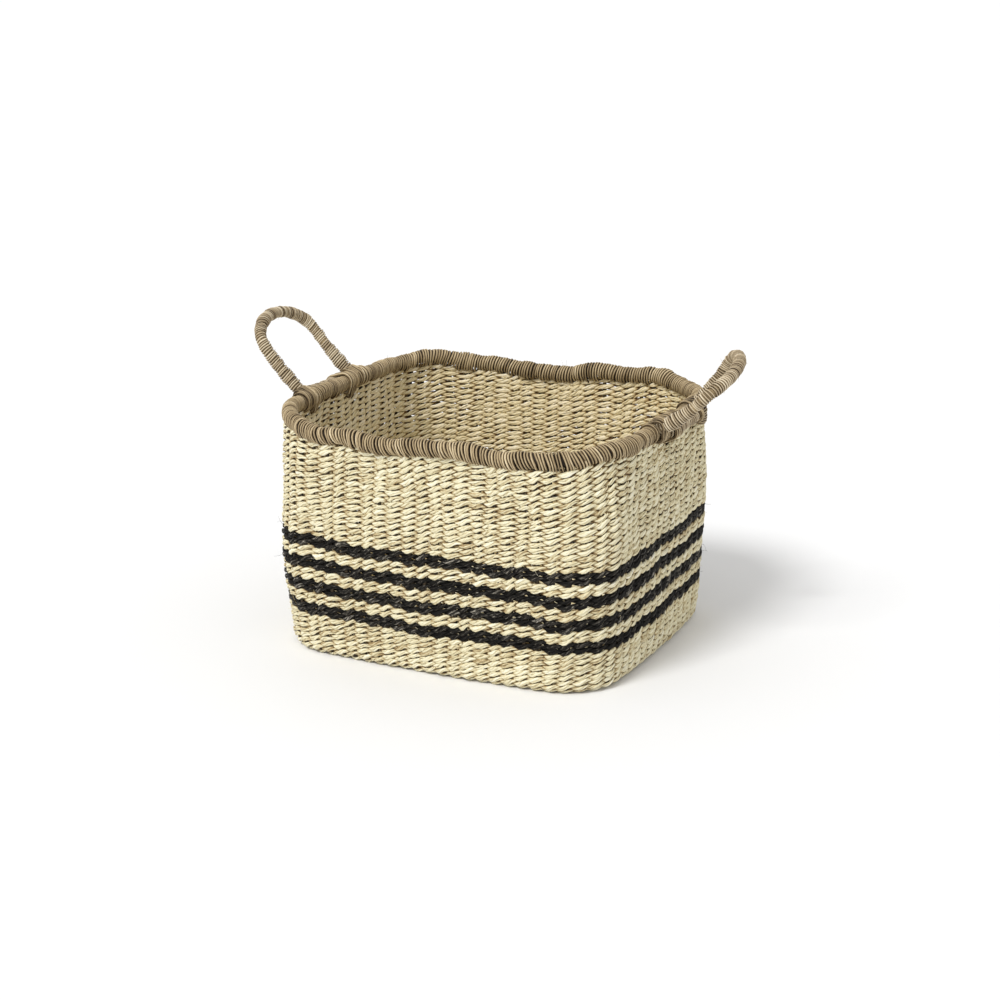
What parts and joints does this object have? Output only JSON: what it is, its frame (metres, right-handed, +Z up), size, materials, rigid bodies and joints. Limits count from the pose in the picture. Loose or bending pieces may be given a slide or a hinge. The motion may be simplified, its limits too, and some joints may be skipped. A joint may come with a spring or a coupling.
{
  "type": "seagrass storage basket",
  "caption": "Rectangular open basket of twined seagrass with black stripes, a cord-bound rim and a wrapped rope handle that tilts at each end.",
  "frame": {"origin": "middle of the base's underside, on the surface the basket stands on", "axes": "+Z up, +X along the basket's long side with a handle at each end, -Y the front; half a turn about +Z maps the basket onto itself, but for the way each rope handle has come to lie"},
  "size_m": [0.5479, 0.38, 0.3384],
  "materials": {
    "seagrass_natural": "matte",
    "seagrass_black": "matte",
    "rim_cord": "matte",
    "handle_cord": "matte",
    "hoop_cane": "matte",
    "rope_core": "matte"
  },
  "bodies": {
    "basket": {"base_weave": "seagrass_natural", "wall_foot_weave": "seagrass_natural", "black_stripe_1": "seagrass_black", "natural_stripe_1": "seagrass_natural", "black_stripe_2": "seagrass_black", "natural_stripe_2": "seagrass_natural", "black_stripe_3": "seagrass_black", "natural_stripe_3": "seagrass_natural", "black_stripe_4": "seagrass_black", "upper_wall_weave": "seagrass_natural", "rim_hoop": "hoop_cane", "rim_binding_front": "rim_cord", "rim_binding_right": "rim_cord", "rim_binding_back": "rim_cord", "rim_binding_left": "rim_cord", "foot_lashing_right_front": "rim_cord", "foot_lashing_right_back": "rim_cord", "foot_lashing_left_front": "rim_cord", "foot_lashing_left_back": "rim_cord", "rope_end_right_front": "handle_cord", "rope_end_right_back": "handle_cord", "rope_end_left_front": "handle_cord", "rope_end_left_back": "handle_cord"},
    "handle_right": {"handle_core_right": "rope_core", "handle_binding_right": "handle_cord"},
    "handle_left": {"handle_core_left": "rope_core", "handle_binding_left": "handle_cord"}
  },
  "joints": [
    {"name": "handle_right_tilt", "type": "hinge", "parent": "basket", "child": "handle_right", "pos_m": [0.195, 0.019, 0.255], "axis": [0, 1, 0], "range_deg": [-80, 35]},
    {"name": "handle_left_tilt", "type": "hinge", "parent": "basket", "child": "handle_left", "pos_m": [-0.195, -0.019, 0.255], "axis": [0, -1, 0], "range_deg": [-80, 35]}
  ]
}
